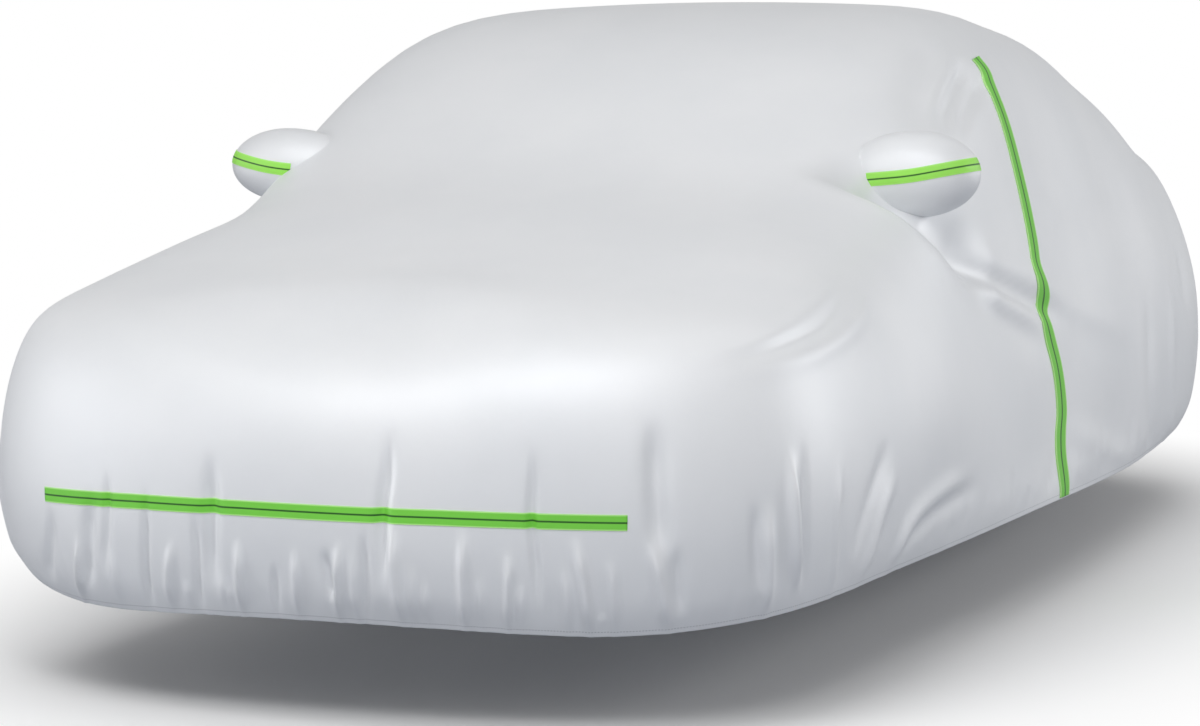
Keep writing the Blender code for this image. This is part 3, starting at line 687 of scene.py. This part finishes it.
def make_side_tape():
    path = smooth_path(SIDE_TAPE_PATH)
    top_row = row_at_height(np.array([turns_of(SIDE_TAPE_GIRTH)]), path[0, 1])[0]
    rows = ends_doubled(np.linspace(top_row, SIDE_TAPE_FOOT, SIDE_TAPE_STATIONS))
    search = np.linspace(*turns_of(SIDE_TAPE_REACH), 241)
    turns = np.zeros((len(rows), len(ACROSS)))
    for k, row in enumerate(rows):
        line = skin_at(search, row)
        middle = np.interp(-line[:, 2], -path[:, 1], path[:, 0])
        for m, v in enumerate(ACROSS):
            turns[k, m] = np.interp(0.0, line[:, 1] - middle - v * SIDE_TAPE_WIDTH / 2.0, search)
    lengths = run_along(skin_at(turns[:, MIDDLE], rows))
    rows = np.repeat(rows[:, None], len(ACROSS), axis=1)
    return tape_on_cover("side_tape_cloth", turns, rows, lengths, SIDE_TAPE_LIFT)


nose_tape = make_front_tape()
side_tape = make_side_tape()


# ---------------------------------------------------------------- mirror pockets
POCKET_SPOKES = 120
POCKET_RINGS = 46
POCKET_TUCK = 0.006         # a cup's last ring goes on under the cover's cloth by this much
TIP_POLAR = 0.02            # the first ring's angle from the tip
FREE_POLAR = 0.25           # no cup meets the cover nearer its tip than this angle
POLAR_STOPS = 120
BAND_STATIONS = 241
BAND_HALVINGS = 40


def pocket_point(pocket, polar, spoke):
    """A point of a pocket: polar is its angle from the outer tip, spoke its angle round."""
    centre, size = pocket_form(pocket)
    across = math.sin(polar) ** (POCKET_FULLNESS if polar > math.pi / 2.0 else 1.0)
    unit = (pocket.side * math.cos(polar), across * math.cos(spoke), across * math.sin(spoke))
    return centre + size * np.array(unit)


def pocket_end(pocket, spoke):
    """The polar angle where a spoke of a pocket meets the cover, or its flat root."""
    root = math.acos(-POCKET_ROOT / POCKET_REACH)
    polars = np.linspace(FREE_POLAR, root, POLAR_STOPS)
    for a, b in zip(polars[:-1], polars[1:]):
        start = pocket_point(pocket, a, spoke)
        way = Vector(pocket_point(pocket, b, spoke) - start)
        hit = skin_tree.ray_cast(Vector(start), way, way.length)
        if hit[0] is not None:
            return a + (b - a) * hit[3] / way.length
    return root


def pocket_rings(pocket):
    """Points of a pocket in rings from its tip to the cover, and one tucked under it."""
    spokes = [2.0 * math.pi * k / POCKET_SPOKES for k in range(POCKET_SPOKES)]
    ends = [pocket_end(pocket, spoke) for spoke in spokes]
    rings = []
    for j in range(POCKET_RINGS + 1):
        polars = [max(j / POCKET_RINGS * end, TIP_POLAR) for end in ends]
        rings.append([pocket_point(pocket, *place) for place in zip(polars, spokes)])
    rings = np.array(rings)
    tucked = rings[-1] - np.array([pocket.side * POCKET_TUCK, 0.0, 0.0])
    return np.concatenate([rings, tucked[None]])


def make_pocket(pocket):
    rings = pocket_rings(pocket)
    count = POCKET_SPOKES
    tip = pocket_point(pocket, 0.0, 0.0)
    points = np.concatenate([[tip], rings.reshape(-1, 3)])
    faces = []
    for k in range(count):
        n = (k + 1) % count
        faces.append((0, 1 + k, 1 + n))
        for j in range(len(rings) - 1):
            a, b = 1 + j * count, 1 + (j + 1) * count
            faces.append((a + k, b + k, b + n, a + n))
    if pocket.side < 0:
        faces = [face[::-1] for face in faces]
    round_tip = np.arctan2(points[:, 2] - tip[2], points[:, 1] - tip[1]) * POCKET_DEPTH
    uv = np.stack([round_tip, points[:, 0]], axis=1)
    return new_mesh_object(f"mirror_cup_{pocket.name}", points, faces, uv)


def outside_pocket(pocket, points):
    """Above zero outside a pocket's form; the points are measured from its middle."""
    out, depth, height = np.moveaxis(points / pocket_form(pocket)[1], -1, 0)
    girth = np.maximum(1.0 - out**2, 1e-9)
    inner = pocket.side * out < 0.0
    within = np.where(inner, girth**POCKET_FULLNESS, girth)
    return depth**2 + height**2 - within + np.maximum(np.abs(out) - 1.0, 0.0)


def outside_cover(point):
    place, normal, _, _ = skin_tree.find_nearest(point)
    return (point - place).dot(normal) > 0.0


def make_mirror_tape(pocket):
    """The tape round a pocket: where a tilted, slightly sagging slab meets its form."""
    centre, size = pocket_form(pocket)
    tilt = POCKET_TAPE_TILT * pocket.side
    run = np.array([math.cos(tilt), 0.0, math.sin(tilt)]) * pocket.side
    up = np.array([-math.sin(tilt), 0.0, math.cos(tilt)])
    back = np.array([0.0, 1.0, 0.0])
    angles = np.linspace(-math.pi, math.pi, BAND_STATIONS)[:, None, None]
    rise = ACROSS[None, :, None] * TAPE_WIDTH / 2.0 - POCKET_TAPE_SAG * np.sin(angles) ** 2
    start = np.array([0.0, 0.0, pocket.tape_z - pocket.centre_z]) + up * rise
    way = run * np.cos(angles) + back * np.sin(angles)
    near, far = np.zeros(rise.shape), np.full(rise.shape, 2.0 * POCKET_REACH)
    for _ in range(BAND_HALVINGS):
        halfway = (near + far) / 2.0
        out = outside_pocket(pocket, start + way * halfway)[..., None] > 0.0
        near, far = np.where(out, near, halfway), np.where(out, halfway, far)
    path = start + way * near
    seen = []
    for point in path[:, MIDDLE] + centre:
        beyond = pocket.side * point[0] > POCKET_X - POCKET_ROOT
        seen.append(beyond and outside_cover(Vector(point)))
    first, *_, last = np.nonzero(seen)[0]
    path = path[max(first - 1, 0):last + 2]
    normals = path / size**2
    normals /= np.linalg.norm(normals, axis=-1, keepdims=True)
    lifts = np.full(path.shape[:2], TAPE_LIFT)
    lifts[:, 0] = lifts[:, -1] = BAND_EDGE_LIFT
    points = path + centre + normals * lifts[..., None]
    return tape_piece(f"mirror_band_{pocket.name}", points, run_along(points[:, MIDDLE]))


cups = {pocket.name: make_pocket(pocket) for pocket in POCKETS}
bands = {pocket.name: make_mirror_tape(pocket) for pocket in POCKETS}


# ---------------------------------------------------------------- materials
CLOTH_DARK = (0.785, 0.798, 0.817)
CLOTH_PALE = (0.812, 0.822, 0.838)
CLOUD_ENDS = (0.35, 0.65)   # of the noise, for the darker and the paler cloth
STITCH_COLOUR = (0.36, 0.37, 0.39)
STITCH_STRENGTH = 0.5
STITCH_HALF = 0.0012        # half the height of a stitch
STITCHES_A_METRE = 160.0
STITCH_SHARE = 0.62         # of the pitch
WEAVE_PITCH = 0.0016
WEAVE_HEIGHT = 0.00004
CREASE_HEIGHT = 0.0006
GREEN = (0.19, 0.66, 0.06)
GREEN_EDGE = (0.48, 0.88, 0.28)
BRIGHT = (0.33, 0.80, 0.10)
BRIGHT_EDGE = (0.42, 0.86, 0.18)
TAPE_LINE = (0.02, 0.12, 0.01)
TAPE_LINE_ENDS = (0.09, 0.14)   # shares of the half width, out from the middle
TAPE_EDGE_FROM = (0.80, 0.90)
RIB_PITCH = 0.0014
RIB_HEIGHT = 0.00006

FLOOR_SPAN = 60.0
FLOOR_PALE = 0.95
FLOOR_BOUNCE = (0.41, 0.43, 0.475)
FLOOR_REACH = (1.5, 3.0)    # half sizes of the oval in which the floor takes the shadow
FLOOR_FADE = (0.75, 1.25)


def new_material(name):
    material = bpy.data.materials.new(name)
    material.use_nodes = True
    tree = material.node_tree
    return material, tree, tree.nodes["Principled BSDF"]


def node(tree, kind, **values):
    made = tree.nodes.new(kind)
    for name, value in values.items():
        if name in made.inputs:
            made.inputs[name].default_value = value
        else:
            setattr(made, name, value)
    return made


def math_node(tree, operation, a, b=None, c=None):
    made = tree.nodes.new("ShaderNodeMath")
    made.operation = operation
    for slot, value in zip(made.inputs, (a, b, c)):
        if value is None:
            continue
        if isinstance(value, (int, float)):
            slot.default_value = value
        else:
            tree.links.new(value, slot)
    return made.outputs[0]


def uv_parts(tree):
    """The two parts of a piece's cloth coordinates."""
    uv = tree.nodes.new("ShaderNodeUVMap")
    uv.uv_map = "cloth"
    split = tree.nodes.new("ShaderNodeSeparateXYZ")
    tree.links.new(uv.outputs[0], split.inputs[0])
    return split.outputs[0], split.outputs[1]


def wave(tree, place, pitch):
    """A sine of this pitch, in metres, along a coordinate."""
    return math_node(tree, "SINE", math_node(tree, "MULTIPLY", place, 2 * math.pi / pitch))


def set_bump(tree, shader, height):
    bump = node(tree, "ShaderNodeBump", Strength=1.0, Distance=1.0)
    tree.links.new(height, bump.inputs["Height"])
    tree.links.new(bump.outputs[0], shader.inputs["Normal"])


def stitch_mask(tree, along, above):
    """The hem's stitches: short dashes a little above the edge."""
    off_line = math_node(tree, "ABSOLUTE", math_node(tree, "SUBTRACT", above, HEM_STITCH))
    on_line = math_node(tree, "LESS_THAN", off_line, STITCH_HALF)
    part = math_node(tree, "FRACT", math_node(tree, "MULTIPLY", along, STITCHES_A_METRE))
    dash = math_node(tree, "LESS_THAN", part, STITCH_SHARE)
    return math_node(tree, "MULTIPLY", on_line, dash)


def cloth_material():
    material, tree, shader = new_material("silver_cloth")
    link = tree.links.new
    shader.inputs["Roughness"].default_value = 0.55
    shader.inputs["Metallic"].default_value = 0.30
    shader.inputs["Sheen Weight"].default_value = 0.10
    shader.inputs["Sheen Roughness"].default_value = 0.5
    place = tree.nodes.new("ShaderNodeTexCoord").outputs["Object"]
    along, above = uv_parts(tree)
    # colour: silver with slow, faint clouds, and the hem's dark stitches
    clouds = node(tree, "ShaderNodeTexNoise", Scale=3.0, Detail=3.0, Roughness=0.5)
    link(place, clouds.inputs["Vector"])
    ramp = tree.nodes.new("ShaderNodeValToRGB")
    for element, end, colour in zip(ramp.color_ramp.elements, CLOUD_ENDS, (CLOTH_DARK, CLOTH_PALE)):
        element.position = end
        element.color = (*colour, 1.0)
    link(clouds.outputs["Fac"], ramp.inputs[0])
    stitch = stitch_mask(tree, along, above)
    mix = tree.nodes.new("ShaderNodeMix")
    mix.data_type = "RGBA"
    link(math_node(tree, "MULTIPLY", stitch, STITCH_STRENGTH), mix.inputs["Factor"])
    link(ramp.outputs[0], mix.inputs["A"])
    mix.inputs["B"].default_value = (*STITCH_COLOUR, 1.0)
    link(mix.outputs["Result"], shader.inputs["Base Color"])
    # bump: a fine plain weave under soft creasing
    weave = math_node(tree, "MULTIPLY", wave(tree, along, WEAVE_PITCH), wave(tree, above, WEAVE_PITCH))
    crease = node(tree, "ShaderNodeTexNoise", Scale=22.0, Detail=4.0, Roughness=0.55)
    link(place, crease.inputs["Vector"])
    soft = math_node(tree, "MULTIPLY", crease.outputs["Fac"], CREASE_HEIGHT)
    set_bump(tree, shader, math_node(tree, "MULTIPLY_ADD", weave, WEAVE_HEIGHT, soft))
    return material


def tape_material(name, green, edge):
    """Ribbed green tape with a dark middle line and paler edges."""
    material, tree, shader = new_material(name)
    link = tree.links.new
    shader.inputs["Roughness"].default_value = 0.42
    along, across = uv_parts(tree)
    ramp = tree.nodes.new("ShaderNodeValToRGB")
    elements = ramp.color_ramp.elements
    elements[0].position, elements[1].position = 0.0, 1.0
    elements[0].color, elements[1].color = (*TAPE_LINE, 1.0), (*edge, 1.0)
    stops = zip(TAPE_LINE_ENDS + TAPE_EDGE_FROM, (TAPE_LINE, green, green, edge))
    for position, colour in stops:
        elements.new(position).color = (*colour, 1.0)
    link(math_node(tree, "ABSOLUTE", across), ramp.inputs[0])
    link(ramp.outputs[0], shader.inputs["Base Color"])
    set_bump(tree, shader, math_node(tree, "MULTIPLY", wave(tree, along, RIB_PITCH), RIB_HEIGHT))
    return material


def floor_material():
    """A pale floor: its shadow fades out to plain white away from the car."""
    material, tree, shader = new_material("studio_floor")
    link = tree.links.new
    tree.nodes.remove(shader)
    near = node(tree, "ShaderNodeBsdfDiffuse")
    near.inputs["Color"].default_value = (FLOOR_PALE, FLOOR_PALE, FLOOR_PALE, 1.0)
    dim = node(tree, "ShaderNodeBsdfDiffuse")
    dim.inputs["Color"].default_value = (*FLOOR_BOUNCE, 1.0)
    glow = node(tree, "ShaderNodeEmission", Strength=1.0)
    place = tree.nodes.new("ShaderNodeTexCoord")
    shape = tree.nodes.new("ShaderNodeMapping")
    shape.inputs["Scale"].default_value = (1.0 / FLOOR_REACH[0], 1.0 / FLOOR_REACH[1], 0.0)
    link(place.outputs["Object"], shape.inputs["Vector"])
    size = tree.nodes.new("ShaderNodeVectorMath")
    size.operation = "LENGTH"
    link(shape.outputs[0], size.inputs[0])
    away = node(tree, "ShaderNodeMapRange")
    away.interpolation_type = "SMOOTHSTEP"
    away.inputs["From Min"].default_value = FLOOR_FADE[0]
    away.inputs["From Max"].default_value = FLOOR_FADE[1]
    link(size.outputs["Value"], away.inputs["Value"])
    pale = tree.nodes.new("ShaderNodeMixShader")
    link(away.outputs["Result"], pale.inputs[0])
    link(near.outputs[0], pale.inputs[1])
    link(glow.outputs[0], pale.inputs[2])
    path = tree.nodes.new("ShaderNodeLightPath")
    seen = tree.nodes.new("ShaderNodeMixShader")
    link(path.outputs["Is Camera Ray"], seen.inputs[0])
    link(dim.outputs[0], seen.inputs[1])
    link(pale.outputs[0], seen.inputs[2])
    link(seen.outputs[0], tree.nodes["Material Output"].inputs["Surface"])
    return material


cloth = cloth_material()
green = tape_material("green_tape", GREEN, GREEN_EDGE)
bright_green = tape_material("mirror_tape", BRIGHT, BRIGHT_EDGE)
pieces = {
    "cover": (cover, cloth),
    "front_tape": (nose_tape, green),
    "side_tape": (side_tape, green),
}
for pocket in POCKETS:
    pieces[f"mirror_pocket_{pocket.name}"] = (cups[pocket.name], cloth)
    pieces[f"mirror_tape_{pocket.name}"] = (bands[pocket.name], bright_green)
for replaced, (piece, material) in pieces.items():
    piece.data.materials.append(material)
    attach(piece, "root")
    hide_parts(replaced)

# ---------------------------------------------------------------- stage, camera and light
GROUND_Z = float(-ORIGIN[2])


def make_floor():
    corners = [(-1, -1), (1, -1), (1, 1), (-1, 1)]
    mesh = bpy.data.meshes.new("floor")
    mesh.from_pydata([(FLOOR_SPAN * x, FLOOR_SPAN * y, GROUND_Z) for x, y in corners], [], [(0, 1, 2, 3)])
    mesh.materials.append(floor_material())
    floor = bpy.data.objects.new("floor", mesh)
    bpy.context.scene.collection.objects.link(floor)
    return floor


floor = make_floor()

FOCAL_PIXELS = 3394.0
PHOTO_WIDTH = 1200.0
SENSOR_WIDTH = 36.0
CAMERA_YAW = math.radians(20.446)
CAMERA_PITCH = math.radians(4.874)
CAMERA_AT = np.array([2.720, -6.647, 1.248])
camera_data = bpy.data.cameras.new("camera")
camera_data.sensor_width = SENSOR_WIDTH
camera_data.lens = SENSOR_WIDTH * FOCAL_PIXELS / PHOTO_WIDTH
camera = bpy.data.objects.new("camera", camera_data)
camera.location = Vector(CAMERA_AT - ORIGIN)
camera.rotation_euler = (math.pi / 2.0 - CAMERA_PITCH, 0.0, CAMERA_YAW)
bpy.context.scene.collection.objects.link(camera)
bpy.context.scene.camera = camera


def area_light(name, at, aim, size, power):
    data = bpy.data.lights.new(name, "AREA")
    data.shape = "RECTANGLE"
    data.size, data.size_y = size
    data.energy = power
    light = bpy.data.objects.new(name, data)
    light.location = Vector(at) - Vector(ORIGIN)
    way = Vector(aim) - Vector(at)
    light.rotation_euler = way.to_track_quat("-Z", "Y").to_euler()
    bpy.context.scene.collection.objects.link(light)


# Each studio light: name, place, aim, size and power, in the tables' frame.
LIGHTS = (
    ("front_top", (0.0, -3.5, 4.5), (0.0, -0.2, 0.8), (4.0, 3.0), 117.0),
    ("overhead", (0.0, 1.5, 5.0), (0.0, 1.5, 1.0), (4.0, 4.0), 30.0),
    ("right_front", (-6.0, -5.0, 3.0), (0.0, 0.0, 0.7), (4.0, 3.0), 50.0),
    ("right_graze", (-8.0, -3.4, 1.6), (0.0, -0.9, 0.4), (1.5, 1.5), 120.0),
    ("front_low", (3.0, -9.0, 1.0), (0.6, -0.7, 0.4), (2.0, 1.5), 30.0),
    ("left_side", (7.0, -3.0, 3.5), (0.9, 1.0, 0.6), (5.0, 3.0), 42.0),
    ("left_rear", (7.0, 5.0, 2.5), (0.9, 2.5, 0.7), (4.0, 3.0), 195.0),
    ("side_high", (3.2, -6.5, 5.5), (1.0, 0.5, 0.7), (2.0, 2.0), 112.0),
)
WORLD_COLOUR = (0.985, 0.99, 1.0)
WORLD_STRENGTH = 0.33
for light in LIGHTS:
    area_light(*light)


def studio_world():
    """A soft even surround; the camera itself sees white."""
    world = bpy.data.worlds.new("studio")
    bpy.context.scene.world = world
    world.use_nodes = True
    tree = world.node_tree
    soft = tree.nodes["Background"]
    soft.inputs["Color"].default_value = (*WORLD_COLOUR, 1.0)
    soft.inputs["Strength"].default_value = WORLD_STRENGTH
    white = node(tree, "ShaderNodeBackground", Strength=1.0)
    white.inputs["Color"].default_value = (1.0, 1.0, 1.0, 1.0)
    path = tree.nodes.new("ShaderNodeLightPath")
    mix = tree.nodes.new("ShaderNodeMixShader")
    tree.links.new(path.outputs["Is Camera Ray"], mix.inputs[0])
    tree.links.new(soft.outputs[0], mix.inputs[1])
    tree.links.new(white.outputs[0], mix.inputs[2])
    tree.links.new(mix.outputs[0], tree.nodes["World Output"].inputs["Surface"])


studio_world()
bpy.context.scene.view_settings.view_transform = "Standard"

bpy.context.view_layer.update()
